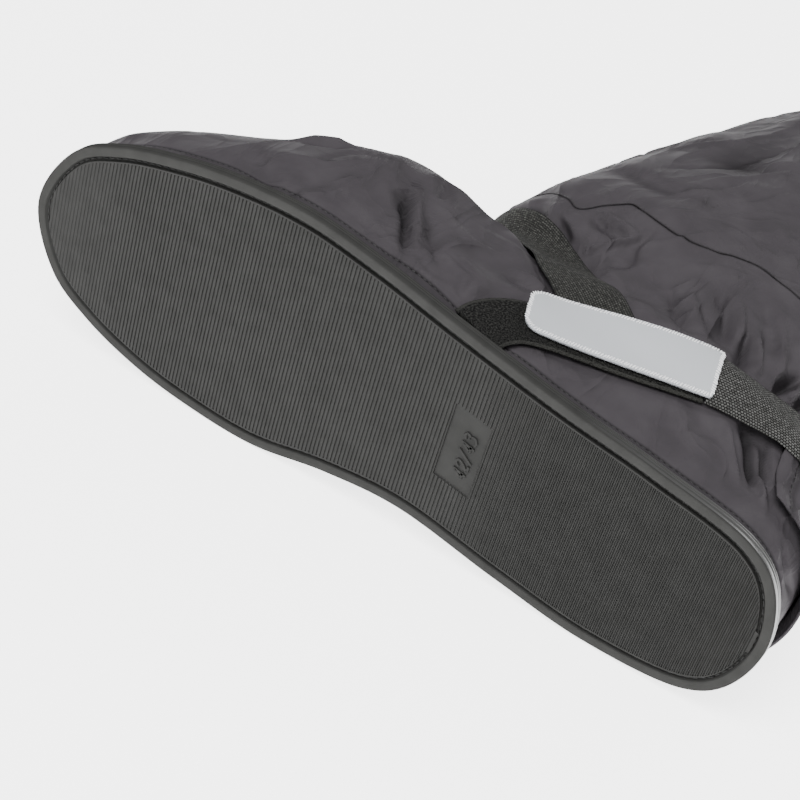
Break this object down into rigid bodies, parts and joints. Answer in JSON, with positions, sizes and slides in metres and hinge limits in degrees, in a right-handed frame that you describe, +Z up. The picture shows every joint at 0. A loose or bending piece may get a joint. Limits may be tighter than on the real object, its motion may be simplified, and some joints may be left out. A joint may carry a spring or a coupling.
{
  "type": "rain overshoe",
  "caption": "Left rain overshoe lying on its inner side: flat ribbed rubber sole, slack coated nylon upper and tall shaft, webbing straps and a reflective side tab.",
  "frame": {"origin": "middle of the floor under the shoe as it lies on its inner side", "axes": "+X from toe to heel, +Y from the sole up along the leg, +Z up from the floor, which is the shoe's inner to outer direction"},
  "size_m": [0.3648, 0.392, 0.1049],
  "materials": {
    "sole_rubber": "moulded sheet rubber, matt, ribbed tread and smooth rim",
    "insole_board": "pressed fibre board",
    "coated_nylon": "plain woven nylon, coated inside, creased, slight sheen",
    "strap_webbing": "basket woven webbing, matt",
    "loop_pile": "fuzzy loop pile",
    "reflective_film": "light grey reflective film with a stitched white border"
  },
  "bodies": {
    "root": {"outsole": "sole_rubber", "insole": "insole_board", "upper": "coated_nylon", "shaft": "coated_nylon", "storm_flap": "coated_nylon", "instep_strap": "strap_webbing", "loop_strip": "loop_pile", "heel_strap": "strap_webbing", "reflective_tab": "reflective_film"}
  },
  "joints": []
}
